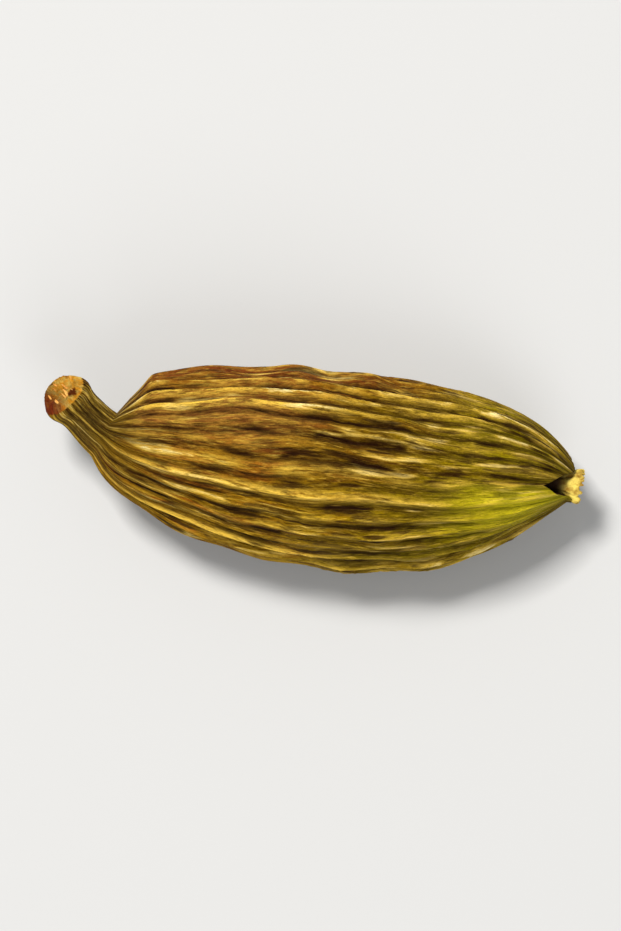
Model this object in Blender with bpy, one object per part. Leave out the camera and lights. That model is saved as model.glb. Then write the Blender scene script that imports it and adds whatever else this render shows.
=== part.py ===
"""Green cardamom pod: one dried, three-sided seed pod that lies on its side.

The formulas are in millimetres, and the mesh in metres. +X runs along the pod
to its tip, -X to its stalk, and +Z is up. The origin is the middle of the
small flat spot that the pod rests on.

The skin is drawn on two numbers: a rib number, which runs round the pod from 0
to the count of its ribs, and a station, which is the distance from the tip
along a slightly bent middle line. So every rib is one line of the mesh.
"""

import bmesh
import bpy
import numpy as np

MM = 0.001
TURN = 2.0 * np.pi

# Stations along the pod's middle line, in mm, counted from the very tip.
HUSK_LENGTH = 17.9
HUSK_MIDDLE = 9.2
STALK_KNOB_AT = 19.9
STALK_END_AT = 20.5

# Radii in mm.
HUSK_RADIUS = 3.61
STALK_RADIUS = 0.80
STALK_KNOB_RADIUS = 0.93
STALK_CUT_RADIUS = 0.68
NUB_RADIUS = 0.54

# The husk is a long ellipse, drawn in towards the tip and a little lower than wide.
TIP_TAPER = 0.50
TIP_TAPER_REACH = 0.082
HEIGHT_SHARE = 0.95

# On its +Y side the husk is fuller near the stalk, like a shoulder, and near the tip,
# where it is slimmer on its -Y side. Both reaches are shares of the husk's length.
SHOULDER = 0.25
SHOULDER_FROM = 0.20
NOSE_BLUNTNESS = 0.074
NOSE_BLUNT_TO = 0.60

# The stalk grows out of the husk, and swells to a knob before its cut end.
STALK_ROOT_FROM = 13.0
STALK_ROOT_TO = 17.0
STALK_KNOB_REACH = 0.42
STALK_RIM_WIDTH = 0.28

# On its -Y side the husk runs down into the stalk in one line, with no notch.
NECK_FLARE = 0.17
NECK_FLARE_AT = 17.5
NECK_FLARE_REACH = 0.95

# The three valves meet in three blunt edges. The angles run from +Y towards +Z.
VALVES = 3
RIBS_PER_VALVE = 9
RIBS = VALVES * RIBS_PER_VALVE
EDGE_ANGLES = (96.0, 216.0, 334.0, 456.0)
EDGE_BULGE = 0.068
EDGE_FADE_FROM = 15.0
EDGE_FADE_TO = 17.6
EDGE_BULGE_TIP = 0.035
EDGE_BULGE_TIP_REACH = 2.5

# Ribs and furrows of the dry skin, in mm.
RIB_DEPTH = 0.165
RIB_CREST = 0.075
RIB_SHARPNESS = 0.55
RIB_FADE_POWER = 1.05
FURROW_SWING = 0.35
FURROW_WAVE_LEAST = 6.5
FURROW_WAVE_MOST = 12.0
RIB_SEED = 11

# The seeds inside push the skin out in two rows a valve.
SEED_SWELL = 0.045
SEED_PITCH = 3.0
SEED_ROWS = 2
SEED_STAGGER = 2.4

# The seams between the valves, which split open at the tip. Widths are in ribs.
SEAM_DEPTH = 0.09
SEAM_HALF_WIDTH = 0.6
SEAM_FULL_THICKNESS = 0.6
SPLIT_DEPTH = 0.62
SPLIT_FROM = 0.6
SPLIT_REACH = 2.1
SPLIT_SHARES = (1.0, 0.55, 0.7)

# At the tip each valve ends in a pointed lip round a small dry nub, just clear of it.
LIP_POINTS_AT = (0.30, 0.34, 0.42)
LIP_NOTCHES_AT = (1.60, 0.55, 0.80)
LIP_REACH = 3.6
LIP_BLUNTNESS = 0.8
LIP_LEAST_RADIUS = 0.64
NUB_PROFILE = ((0.05, 0.55), (0.16, 0.88), (0.34, 1.0), (0.56, 0.88), (0.90, 0.62), (1.90, 0.50))

# How the pod bends, in degrees: the stalk swings to +Y and so does the tip, less. The
# very tip, its nose, turns back again.
STALK_TURN = -37.0
STALK_RISE = -9.0
STALK_BEND_FROM = 15.9
STALK_BEND_TO = 18.8
TIP_TURN = 11.7
TIP_DROOP = -4.0
TIP_BEND_REACH = 11.1
NOSE_TURN = -14.4
NOSE_REACH = 4.6

# How the ribs run round the pod: angles in degrees, lengths in mm.
TWIST = 7.0
WANDER = 1.9
WANDER_LENGTH = 11.0
WANDER_LAG = 2.3
RIPPLE = 0.8
RIPPLE_LENGTH = 5.3
RIPPLE_LAG = 7.0
WANDER_FROM_TIP = 3.0

# The flat spot that the pod rests on, where the ribs are pressed smooth: reaches
# in degrees round the pod and in mm along it.
FLAT_DEPTH = 0.19
FLAT_SIDE = 272.0
FLAT_SMOOTH_ROUND = 19.0
FLAT_SMOOTH_ALONG = 4.0
FLAT_SMOOTH_SHARE = 0.8

# The stalk is cut at a slant, further back on top. The cut face is a shallow dish,
# given as depth in mm and share of its radius.
CUT_SLANT = 0.70
CUT_SLANT_FROM = 18.6
CUT_PROFILE = ((0.03, 0.80), (0.13, 0.42))
CUT_DEPTH = 0.17

# Mesh density.
STEPS_PER_RIB = 4
HUSK_RINGS = 34
HUSK_RINGS_END = 17.7
STALK_RINGS_FROM = 18.1
STALK_RINGS = 8
RINGS_TO_ENDS = 0.5
LINE_STEPS = 821

HUSK_COLOUR = (0.28, 0.21, 0.035, 1.0)
HUSK_ROUGHNESS = 0.55


def clear_scene():
    """Remove what the scene holds, so that only the pod is left."""
    for thing in list(bpy.data.objects):
        bpy.data.objects.remove(thing, do_unlink=True)


def ease(value, start, end):
    """0 before start, 1 after end, and a smooth rise between them."""
    share = np.clip((value - start) / (end - start), 0.0, 1.0)
    return share * share * (3.0 - 2.0 * share)


# Middle line


def middle_line():
    """Stations from tip to stalk, with the point and the side and up directions of each."""
    along = np.linspace(0.0, STALK_END_AT, LINE_STEPS)
    at_tip = 1.0 - ease(along, 0.0, TIP_BEND_REACH)
    at_nose = 1.0 - ease(along, 0.0, NOSE_REACH)
    at_stalk = ease(along, STALK_BEND_FROM, STALK_BEND_TO)
    yaw = np.radians(TIP_TURN * at_tip + NOSE_TURN * at_nose + STALK_TURN * at_stalk)
    pitch = np.radians(TIP_DROOP * at_tip + STALK_RISE * at_stalk)
    forward = np.column_stack(
        (np.cos(yaw) * np.cos(pitch), np.sin(yaw) * np.cos(pitch), np.sin(pitch))
    )
    side = np.column_stack((-np.sin(yaw), np.cos(yaw), np.zeros_like(yaw)))
    up = np.cross(forward, side)
    points = -np.cumsum(forward, axis=0) * (along[1] - along[0])
    middle = [np.interp(HUSK_MIDDLE, along, points[:, axis]) for axis in range(3)]
    return along, (points - middle, side, up)


def on_line(line, at):
    """The point and the side and up directions of the middle line at each station."""
    along, tracks = line
    return [
        np.stack([np.interp(at, along, track[:, axis]) for axis in range(3)], axis=-1)
        for track in tracks
    ]


# Ribs


def rib_pattern():
    """One seeded draw for each rib's crest and for the furrow beside it."""
    draw = np.random.default_rng(RIB_SEED)
    return {
        "furrow": draw.uniform(0.45, 1.2, RIBS),
        "crest": draw.uniform(0.0, 1.0, RIBS),
        "wave": draw.uniform(FURROW_WAVE_LEAST, FURROW_WAVE_MOST, RIBS),
        "phase": draw.uniform(0.0, TURN, RIBS),
    }


def valve_share(rib):
    """Where a rib number lies in its valve, from 0 at one edge to 1 at the next."""
    return (rib % RIBS_PER_VALVE) / RIBS_PER_VALVE


def rib_angle(rib, at):
    """Angle of a rib round the middle line, in degrees from +Y towards +Z.

    The ribs share out each valve evenly, wander a little in two slow waves,
    and turn together round the pod like the strands of a loose rope.
    """
    edges = np.arange(VALVES + 1) * RIBS_PER_VALVE
    even = np.interp(rib, edges, EDGE_ANGLES)
    round_pod = TURN * rib / RIBS
    slow = np.sin(TURN * at / WANDER_LENGTH + WANDER_LAG * np.sin(round_pod))
    quick = np.sin(TURN * at / RIPPLE_LENGTH + RIPPLE_LAG * round_pod)
    wander = (WANDER * slow + RIPPLE * quick) * ease(at, 0.0, WANDER_FROM_TIP)
    return even + wander + TWIST * (HUSK_MIDDLE - at) / HUSK_LENGTH


def pressed_smooth(rib, at):
    """What is left of the ribs near the flat spot: least at its middle, all elsewhere."""
    aside = (rib_angle(rib, at) - FLAT_SIDE + 180.0) % 360.0 - 180.0
    off = (aside / FLAT_SMOOTH_ROUND) ** 2 + ((at - HUSK_MIDDLE) / FLAT_SMOOTH_ALONG) ** 2
    return 1.0 - FLAT_SMOOTH_SHARE * np.exp(-off)


def ribs_height(rib, at, pattern):
    """Crests and furrows: a wave over the rib number, deeper in one furrow than the next."""
    furrow = np.floor(rib).astype(int) % RIBS
    crest = np.rint(rib).astype(int) % RIBS
    swing = np.sin(TURN * at / pattern["wave"][furrow] + pattern["phase"][furrow])
    arch = np.abs(np.sin(np.pi * rib))
    valley = RIB_SHARPNESS * arch + (1.0 - RIB_SHARPNESS) * arch**2
    depth = RIB_DEPTH * pattern["furrow"][furrow] * (1.0 + FURROW_SWING * swing)
    return RIB_CREST * pattern["crest"][crest] * (1.0 - valley) - depth * valley


def seeds_height(rib, at):
    """Soft swells over the seeds, in staggered rows."""
    row = np.floor(rib * SEED_ROWS / RIBS_PER_VALVE)
    along = np.sin(TURN * at / SEED_PITCH + SEED_STAGGER * row)
    across = np.sin(np.pi * rib * SEED_ROWS / RIBS_PER_VALVE) ** 2
    return SEED_SWELL * along * across


def seam_depth(rib, at):
    """Depth of the groove along each edge, which opens into a split at the tip."""
    edge = np.rint(rib / RIBS_PER_VALVE).astype(int)
    share = np.array(SPLIT_SHARES)[edge % VALVES]
    split = SPLIT_DEPTH * share * np.exp(-np.maximum(at - SPLIT_FROM, 0.0) / SPLIT_REACH)
    aside = np.abs(rib - edge * RIBS_PER_VALVE) / SEAM_HALF_WIDTH
    return (SEAM_DEPTH + split) * np.maximum(0.0, 1.0 - aside)


# Form


def husk_radius(rib, at):
    """Radius of the husk: half an ellipse, drawn in at the tip and blunter on its +Y side."""
    share = np.clip(at / HUSK_LENGTH, 0.0, 1.0)
    sideways = np.cos(np.radians(rib_angle(rib, at)))
    shoulder = SHOULDER * (0.5 + 0.5 * sideways) ** 2 * ease(share, SHOULDER_FROM, 1.0)
    nose = NOSE_BLUNTNESS * sideways * (1.0 - ease(share, 0.0, NOSE_BLUNT_TO))
    round_form = HUSK_RADIUS * (4.0 * share * (1.0 - share)) ** (0.5 - shoulder - nose)
    return round_form * (1.0 - TIP_TAPER * np.exp(-share / TIP_TAPER_REACH))


def stalk_radius(at):
    """Radius of the stalk: a waist, then a knob with a rounded rim."""
    knob = np.exp(-(((at - STALK_KNOB_AT) / STALK_KNOB_REACH) ** 2))
    radius = STALK_RADIUS + (STALK_KNOB_RADIUS - STALK_RADIUS) * knob
    rim = ease(at, STALK_END_AT - STALK_RIM_WIDTH, STALK_END_AT)
    return radius + (STALK_CUT_RADIUS - radius) * rim**2


def body_radius(rib, at):
    """Husk and stalk run into each other, as the fourth root of their fourth powers.

    The stalk flares into the husk by a bell curve along it, on its -Y side alone.
    """
    low_side = 0.5 * (1.0 - np.cos(np.radians(rib_angle(rib, at))))
    flare = np.exp(-(((at - NECK_FLARE_AT) / NECK_FLARE_REACH) ** 2))
    stalk = stalk_radius(at) + NECK_FLARE * low_side * flare
    stalk *= ease(at, STALK_ROOT_FROM, STALK_ROOT_TO)
    return (husk_radius(rib, at) ** 4 + stalk**4) ** 0.25


def edge_bulge(at):
    """How much the three edges stand out, as a share of the radius."""
    body = EDGE_BULGE * (1.0 - ease(at, EDGE_FADE_FROM, EDGE_FADE_TO))
    return body + EDGE_BULGE_TIP * np.exp(-at / EDGE_BULGE_TIP_REACH)


def lip_station(rib):
    """Where a valve ends: near the tip at its middle, further back at its edges."""
    valve = np.floor(rib / RIBS_PER_VALVE).astype(int) % VALVES
    edges = np.arange(VALVES + 1) * RIBS_PER_VALVE
    notch = np.interp(rib % RIBS, edges, LIP_NOTCHES_AT + LIP_NOTCHES_AT[:1])
    point = np.sin(np.pi * valve_share(rib)) ** LIP_BLUNTNESS
    return notch + (np.array(LIP_POINTS_AT)[valve] - notch) * point


def cut_back(rib, at, share):
    """How far the slanted cut lies behind a straight one, at a share of its radius."""
    height = share * np.sin(np.radians(rib_angle(rib, at)))
    return CUT_SLANT * 0.5 * (1.0 + height) * ease(at, CUT_SLANT_FROM, STALK_END_AT)


def ring_points(line, rib, at, radius):
    """Points at a radius from the middle line, in the direction of each rib."""
    middle, side, up = on_line(line, at)
    angle = np.radians(rib_angle(rib, at))
    across = (np.cos(angle) * radius)[:, None]
    height = (np.sin(angle) * radius * HEIGHT_SHARE)[:, None]
    return middle + side * across + up * height


def skin_ring(line, pattern, rib, at):
    """One ring of the skin. Near the tip it bends back with the lips of the valves."""
    first = min(LIP_POINTS_AT)
    drawn = 1.0 - ease(at, first, LIP_REACH)
    place = at + (lip_station(rib) - first) * drawn
    radius = body_radius(rib, place)
    thickness = radius / HUSK_RADIUS
    ribs = ribs_height(rib, place, pattern) * pressed_smooth(rib, place)
    seams = seam_depth(rib, place) * np.minimum(1.0, thickness / SEAM_FULL_THICKNESS)
    radius = radius * (1.0 + edge_bulge(place) * np.cos(VALVES * TURN * rib / RIBS))
    radius += ribs * thickness**RIB_FADE_POWER
    radius += seeds_height(rib, place) * thickness**2 - seams
    least = np.where(place < LIP_REACH, LIP_LEAST_RADIUS, 0.0)
    slanted = place - cut_back(rib, place, 1.0)
    return ring_points(line, rib, slanted, np.maximum(radius, least))


# Mesh


def nub_ring(line, rib, at, share):
    """One ring of the nub: the same station and radius all round."""
    return ring_points(line, rib, np.full_like(rib, at), np.full_like(rib, NUB_RADIUS * share))


def cut_ring(line, rib, depth, share):
    """One ring of the dished cut face, at a share of its radius."""
    end = np.full_like(rib, STALK_END_AT)
    at = end - depth - cut_back(rib, end, share)
    return ring_points(line, rib, at, np.full_like(rib, STALK_CUT_RADIUS * share))


def skin_stations():
    """Stations of the skin's rings: closer together at both ends of the husk."""
    even = np.linspace(0.0, 1.0, HUSK_RINGS)
    to_ends = 0.5 * (1.0 - np.cos(np.pi * even))
    spread = even + RINGS_TO_ENDS * (to_ends - even)
    first = min(LIP_POINTS_AT)
    husk = first + (HUSK_RINGS_END - first) * spread
    stalk = np.linspace(STALK_RINGS_FROM, STALK_END_AT, STALK_RINGS)
    return np.concatenate((husk, stalk))


def all_rings(line, pattern):
    """Every ring of the pod, from the nub at the tip to the dish of the cut stalk."""
    rib = np.arange(RIBS * STEPS_PER_RIB) / STEPS_PER_RIB
    nub = [nub_ring(line, rib, at, share) for at, share in NUB_PROFILE]
    skin = [skin_ring(line, pattern, rib, at) for at in skin_stations()]
    cut = [cut_ring(line, rib, depth, share) for depth, share in CUT_PROFILE]
    return np.array(nub + skin + cut)


def pod_points(line, pattern):
    """The rings and the two end points, set down so that the flat spot is at the origin."""
    rings = all_rings(line, pattern)
    ends = on_line(line, np.array((0.0, STALK_END_AT - CUT_DEPTH - CUT_SLANT / 2.0)))[0]
    floor = rings[:, :, 2].min() + FLAT_DEPTH
    spot = rings[rings[:, :, 2] < floor]
    middle = (spot.min(axis=0) + spot.max(axis=0)) / 2.0
    rest = np.array((middle[0], middle[1], floor))
    rings -= rest
    ends -= rest
    rings[:, :, 2] = np.maximum(rings[:, :, 2], 0.0)
    return rings * MM, ends * MM


def pod_mesh(line, pattern):
    """Skin the rings with quads and close both ends with a fan."""
    rings, ends = pod_points(line, pattern)
    mesh = bmesh.new()
    loops = [[mesh.verts.new(point) for point in ring] for ring in rings]
    around = len(loops[0])
    for near, far in zip(loops, loops[1:]):
        for k in range(around):
            after = (k + 1) % around
            mesh.faces.new((near[k], near[after], far[after], far[k]))
    for loop, end in zip((loops[0], loops[-1]), ends):
        centre = mesh.verts.new(end)
        for k in range(around):
            mesh.faces.new((loop[k], loop[(k + 1) % around], centre))
    bmesh.ops.recalc_face_normals(mesh, faces=mesh.faces)
    return mesh


def husk_material():
    """Dry olive-green husk."""
    material = bpy.data.materials.new("dry_green_husk")
    material.use_nodes = True
    shader = material.node_tree.nodes["Principled BSDF"]
    shader.inputs["Base Color"].default_value = HUSK_COLOUR
    shader.inputs["Roughness"].default_value = HUSK_ROUGHNESS
    shader.inputs["Metallic"].default_value = 0.0
    return material


def build_pod():
    """The whole pod as one object."""
    mesh = pod_mesh(middle_line(), rib_pattern())
    data = bpy.data.meshes.new("pod")
    mesh.to_mesh(data)
    mesh.free()
    data.shade_smooth()
    data.materials.append(husk_material())
    pod = bpy.data.objects.new("pod", data)
    bpy.context.scene.collection.objects.link(pod)


clear_scene()
build_pod()
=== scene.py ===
# %% [markdown]
# # A green cardamom pod
#
# A cardamom pod is a small dry fruit: three thin valves grown together round rows of
# seeds, with a stub of stalk at one end and the dried rest of the flower at the other.
# Its look comes from the skin. Ribs run from end to end, the skin between them has
# sunk in as it dried, and the colour changes from tan at the stalk to yellow-green
# at the tip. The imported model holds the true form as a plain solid. This lesson makes
# the fine skin on the same formulas, and then the colours, the light and the camera.

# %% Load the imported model
import math

import bpy
import numpy as np
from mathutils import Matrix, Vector


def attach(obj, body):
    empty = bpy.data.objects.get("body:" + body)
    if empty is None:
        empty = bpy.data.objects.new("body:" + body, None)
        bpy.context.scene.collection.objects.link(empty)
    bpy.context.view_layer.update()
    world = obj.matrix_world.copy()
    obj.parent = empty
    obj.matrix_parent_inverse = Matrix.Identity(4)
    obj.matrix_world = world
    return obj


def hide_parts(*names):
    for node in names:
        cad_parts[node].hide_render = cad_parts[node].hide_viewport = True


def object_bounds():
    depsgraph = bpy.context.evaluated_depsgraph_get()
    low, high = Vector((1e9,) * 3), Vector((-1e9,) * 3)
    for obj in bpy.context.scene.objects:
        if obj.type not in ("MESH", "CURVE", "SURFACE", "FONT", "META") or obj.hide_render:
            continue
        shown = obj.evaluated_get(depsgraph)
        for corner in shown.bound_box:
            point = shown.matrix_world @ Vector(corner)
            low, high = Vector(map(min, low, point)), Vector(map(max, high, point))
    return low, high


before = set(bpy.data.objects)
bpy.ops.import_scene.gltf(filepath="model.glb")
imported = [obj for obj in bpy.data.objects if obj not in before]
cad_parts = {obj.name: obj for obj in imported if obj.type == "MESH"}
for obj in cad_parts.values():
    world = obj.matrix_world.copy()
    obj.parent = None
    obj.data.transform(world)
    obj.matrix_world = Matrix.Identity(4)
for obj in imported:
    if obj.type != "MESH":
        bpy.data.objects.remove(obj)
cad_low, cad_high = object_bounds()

MM = 0.001
TURN = 2.0 * np.pi


def box_in_mm(low, high):
    """Length, width and height in mm of a box in metres."""
    return ((np.array(high) - np.array(low)) / MM).round(2)


print("solid pod, mm:", box_in_mm(cad_low, cad_high))

# %% [markdown]
# ## Two numbers for every point of the skin
#
# A round thing could be sculpted, or grown from a sphere. Here every point of the skin
# gets two numbers instead: a rib number, which runs round the pod, and a station, which
# is the distance from the tip along the pod's middle line. Each rib is then one column
# of the grid, so relief and colour both follow the ribs without any painting.

# %% Sizes along the pod, in millimetres from the tip
HUSK_LENGTH = 17.9
HUSK_MIDDLE = 9.2
STALK_KNOB_AT = 19.9
STALK_END_AT = 20.5

VALVES = 3
RIBS_PER_VALVE = 9
RIBS = VALVES * RIBS_PER_VALVE
EDGE_ANGLES = (96.0, 216.0, 334.0, 456.0)
EDGE_RIBS = np.arange(VALVES + 1) * RIBS_PER_VALVE


def ease(value, start, end):
    """0 before start, 1 after end, and the smooth rise 3 s^2 - 2 s^3 between them."""
    share = np.clip((value - start) / (end - start), 0.0, 1.0)
    return share * share * (3.0 - 2.0 * share)


# %% [markdown]
# ## The middle line
#
# The pod isn't straight. Its stalk swings to one side, its tip leans the same way, and
# the very end of the tip, its nose, turns back again. A curve object could carry the
# shape, but its frames can flip. Here the line's heading is a formula, and the points are
# the running sum of its steps.

# %% Bend the middle line
STALK_TURN = -37.0
STALK_RISE = -9.0
STALK_BEND_FROM = 15.9
STALK_BEND_TO = 18.8
TIP_TURN = 11.7
TIP_DROOP = -4.0
TIP_BEND_REACH = 11.1
NOSE_TURN = -14.4
NOSE_REACH = 4.6
LINE_STEPS = 821


def middle_line():
    """Stations from tip to stalk, with the point and the side and up directions of each.

    Yaw and pitch are eased between the bends. The direction is (cos yaw cos pitch,
    sin yaw cos pitch, sin pitch), and the point is minus the running sum of it.
    """
    along = np.linspace(0.0, STALK_END_AT, LINE_STEPS)
    at_tip = 1.0 - ease(along, 0.0, TIP_BEND_REACH)
    at_nose = 1.0 - ease(along, 0.0, NOSE_REACH)
    at_stalk = ease(along, STALK_BEND_FROM, STALK_BEND_TO)
    yaw = np.radians(TIP_TURN * at_tip + NOSE_TURN * at_nose + STALK_TURN * at_stalk)
    pitch = np.radians(TIP_DROOP * at_tip + STALK_RISE * at_stalk)
    forward = np.column_stack(
        (np.cos(yaw) * np.cos(pitch), np.sin(yaw) * np.cos(pitch), np.sin(pitch))
    )
    side = np.column_stack((-np.sin(yaw), np.cos(yaw), np.zeros_like(yaw)))
    up = np.cross(forward, side)
    points = -np.cumsum(forward, axis=0) * (along[1] - along[0])
    middle = [np.interp(HUSK_MIDDLE, along, points[:, axis]) for axis in range(3)]
    return along, (points - middle, side, up)


def on_line(line, at):
    """The point and the side and up directions of the line at each station of an array."""
    along, tracks = line
    return [
        np.stack([np.interp(at, along, track[:, axis]) for axis in range(3)], axis=-1)
        for track in tracks
    ]


LINE = middle_line()
print("middle line ends, mm:", LINE[1][0][0].round(2), LINE[1][0][-1].round(2))

# %% [markdown]
# ## Where each rib runs
#
# The three edges between the valves lie at fixed angles, and nine ribs share out each
# valve. Real ribs are never straight, so two slow waves push them aside, and all of them
# turn a few degrees from stalk to tip.

# %% Turn rib numbers into angles
TWIST = 7.0
WANDER = 1.9
WANDER_LENGTH = 11.0
WANDER_LAG = 2.3
RIPPLE = 0.8
RIPPLE_LENGTH = 5.3
RIPPLE_LAG = 7.0
WANDER_FROM_TIP = 3.0


def rib_angle(rib, at):
    """Angle of a rib in degrees from +Y towards +Z.

    It is the even share of the valve, plus wander times a slow and a quick sine of the
    station, plus a twist that is linear in the station.
    """
    even = np.interp(rib, EDGE_RIBS, EDGE_ANGLES)
    round_pod = TURN * rib / RIBS
    slow = np.sin(TURN * at / WANDER_LENGTH + WANDER_LAG * np.sin(round_pod))
    quick = np.sin(TURN * at / RIPPLE_LENGTH + RIPPLE_LAG * round_pod)
    wander = (WANDER * slow + RIPPLE * quick) * ease(at, 0.0, WANDER_FROM_TIP)
    return even + wander + TWIST * (HUSK_MIDDLE - at) / HUSK_LENGTH


def degrees_from(rib, at, angle):
    """How far round the pod a rib lies from an angle, in degrees from -180 to 180."""
    return (rib_angle(rib, at) - angle + 180.0) % 360.0 - 180.0


HEIGHT_SHARE = 0.95


def skin_points(rib, at, radius):
    """Middle line plus radius times (side cos angle + up sin angle), a little flattened."""
    middle, side, up = on_line(LINE, at)
    angle = np.radians(rib_angle(rib, at))
    across = (np.cos(angle) * radius)[..., None]
    height = (np.sin(angle) * radius * HEIGHT_SHARE)[..., None]
    return middle + side * across + up * height


# %% [markdown]
# ## The plain form
#
# Without its relief the pod is a long ellipse that is drawn in towards the tip, bulges at
# the three edges, and runs into a thin stalk with a knob at its end. These are the same
# formulas as in the solid, so the fine skin lies where the solid lies.

# %% Radius of husk and stalk
HUSK_RADIUS = 3.61
TIP_TAPER = 0.50
TIP_TAPER_REACH = 0.082
SHOULDER = 0.25
SHOULDER_FROM = 0.20
NOSE_BLUNTNESS = 0.074
NOSE_BLUNT_TO = 0.60
STALK_RADIUS = 0.80
STALK_KNOB_RADIUS = 0.93
STALK_CUT_RADIUS = 0.68
STALK_ROOT_FROM = 13.0
STALK_ROOT_TO = 17.0
STALK_KNOB_REACH = 0.42
STALK_RIM_WIDTH = 0.28
NECK_FLARE = 0.17
NECK_FLARE_AT = 17.5
NECK_FLARE_REACH = 0.95
EDGE_BULGE = 0.068
EDGE_FADE_FROM = 15.0
EDGE_FADE_TO = 17.6
EDGE_BULGE_TIP = 0.035
EDGE_BULGE_TIP_REACH = 2.5


def husk_radius(rib, at):
    """Radius times a power of 4 s (1 - s), with s the share of the length, less a taper.

    The power is a half, an ellipse. It is less, so blunter, on the +Y side near both ends,
    and a little more on the -Y side of the tip.
    """
    share = np.clip(at / HUSK_LENGTH, 0.0, 1.0)
    sideways = np.cos(np.radians(rib_angle(rib, at)))
    shoulder = SHOULDER * (0.5 + 0.5 * sideways) ** 2 * ease(share, SHOULDER_FROM, 1.0)
    nose = NOSE_BLUNTNESS * sideways * (1.0 - ease(share, 0.0, NOSE_BLUNT_TO))
    round_form = HUSK_RADIUS * (4.0 * share * (1.0 - share)) ** (0.5 - shoulder - nose)
    return round_form * (1.0 - TIP_TAPER * np.exp(-share / TIP_TAPER_REACH))


def stalk_radius(at):
    """A constant waist, plus a bell curve for the knob, eased down to the cut's rim."""
    knob = np.exp(-(((at - STALK_KNOB_AT) / STALK_KNOB_REACH) ** 2))
    radius = STALK_RADIUS + (STALK_KNOB_RADIUS - STALK_RADIUS) * knob
    rim = ease(at, STALK_END_AT - STALK_RIM_WIDTH, STALK_END_AT)
    return radius + (STALK_CUT_RADIUS - radius) * rim**2


def body_radius(rib, at):
    """Fourth root of the sum of the fourth powers of husk and stalk.

    On its -Y side the stalk flares into the husk by a bell curve along it.
    """
    low_side = 0.5 * (1.0 - np.cos(np.radians(rib_angle(rib, at))))
    flare = np.exp(-(((at - NECK_FLARE_AT) / NECK_FLARE_REACH) ** 2))
    stalk = stalk_radius(at) + NECK_FLARE * low_side * flare
    stalk *= ease(at, STALK_ROOT_FROM, STALK_ROOT_TO)
    return (husk_radius(rib, at) ** 4 + stalk**4) ** 0.25


def edge_bulge(at):
    """How much the three edges stand out, as a share of the radius."""
    body = EDGE_BULGE * (1.0 - ease(at, EDGE_FADE_FROM, EDGE_FADE_TO))
    return body + EDGE_BULGE_TIP * np.exp(-at / EDGE_BULGE_TIP_REACH)


# %% [markdown]
# ## The main relief
#
# Ribs, the swells over the seeds and the seams are in the solid too. They are repeated
# here from the same seeded draw, so each furrow has the depth that it has there.

# %% Ribs, seeds and seams
RIB_DEPTH = 0.165
RIB_CREST = 0.075
RIB_SHARPNESS = 0.55
RIB_FADE_POWER = 1.05
FURROW_LEAST = 0.45
FURROW_MOST = 1.2
FURROW_SWING = 0.35
FURROW_WAVE_LEAST = 6.5
FURROW_WAVE_MOST = 12.0
RIB_SEED = 11
SEED_SWELL = 0.045
SEED_PITCH = 3.0
SEED_ROWS = 2
SEED_STAGGER = 2.4
SEAM_DEPTH = 0.09
SEAM_HALF_WIDTH = 0.6
SEAM_FULL_THICKNESS = 0.6
SPLIT_DEPTH = 0.62
SPLIT_FROM = 0.6
SPLIT_REACH = 2.1
SPLIT_SHARES = (1.0, 0.55, 0.7)
FLAT_SIDE = 272.0
FLAT_SMOOTH_ROUND = 19.0
FLAT_SMOOTH_ALONG = 4.0
FLAT_SMOOTH_SHARE = 0.8


def rib_pattern():
    """One seeded draw for each rib's crest and for the furrow beside it."""
    draw = np.random.default_rng(RIB_SEED)
    return {
        "furrow": draw.uniform(FURROW_LEAST, FURROW_MOST, RIBS),
        "crest": draw.uniform(0.0, 1.0, RIBS),
        "wave": draw.uniform(FURROW_WAVE_LEAST, FURROW_WAVE_MOST, RIBS),
        "phase": draw.uniform(0.0, TURN, RIBS),
    }


PATTERN = rib_pattern()


def nearest_rib(rib):
    """Number of the rib whose crest is nearest."""
    return np.rint(rib).astype(int) % RIBS


def valley_shape(rib):
    """0 on a crest and 1 in a furrow: a mix of |sin| and sin^2 of the rib number."""
    arch = np.abs(np.sin(np.pi * rib))
    return RIB_SHARPNESS * arch + (1.0 - RIB_SHARPNESS) * arch**2


def furrow_depth(rib, at):
    """Depth of the furrow beside a rib: its own draw, swelling and fading in a long wave."""
    furrow = np.floor(rib).astype(int) % RIBS
    swing = np.sin(TURN * at / PATTERN["wave"][furrow] + PATTERN["phase"][furrow])
    return PATTERN["furrow"][furrow] * (1.0 + FURROW_SWING * swing)


def ribs_height(rib, at):
    """Crest height times (1 - valley), less furrow depth times valley, in mm."""
    crest = PATTERN["crest"][nearest_rib(rib)]
    valley = valley_shape(rib)
    return RIB_CREST * crest * (1.0 - valley) - RIB_DEPTH * furrow_depth(rib, at) * valley


def pressed_smooth(rib, at):
    """What is left of the relief near the flat spot: one less a bell curve over the skin."""
    aside = degrees_from(rib, at, FLAT_SIDE)
    off = (aside / FLAT_SMOOTH_ROUND) ** 2 + ((at - HUSK_MIDDLE) / FLAT_SMOOTH_ALONG) ** 2
    return 1.0 - FLAT_SMOOTH_SHARE * np.exp(-off)


def seeds_height(rib, at):
    """Soft swells over the seeds: a sine along the pod, in two staggered rows a valve."""
    row = np.floor(rib * SEED_ROWS / RIBS_PER_VALVE)
    along = np.sin(TURN * at / SEED_PITCH + SEED_STAGGER * row)
    across = np.sin(np.pi * rib * SEED_ROWS / RIBS_PER_VALVE) ** 2
    return SEED_SWELL * along * across


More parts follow.
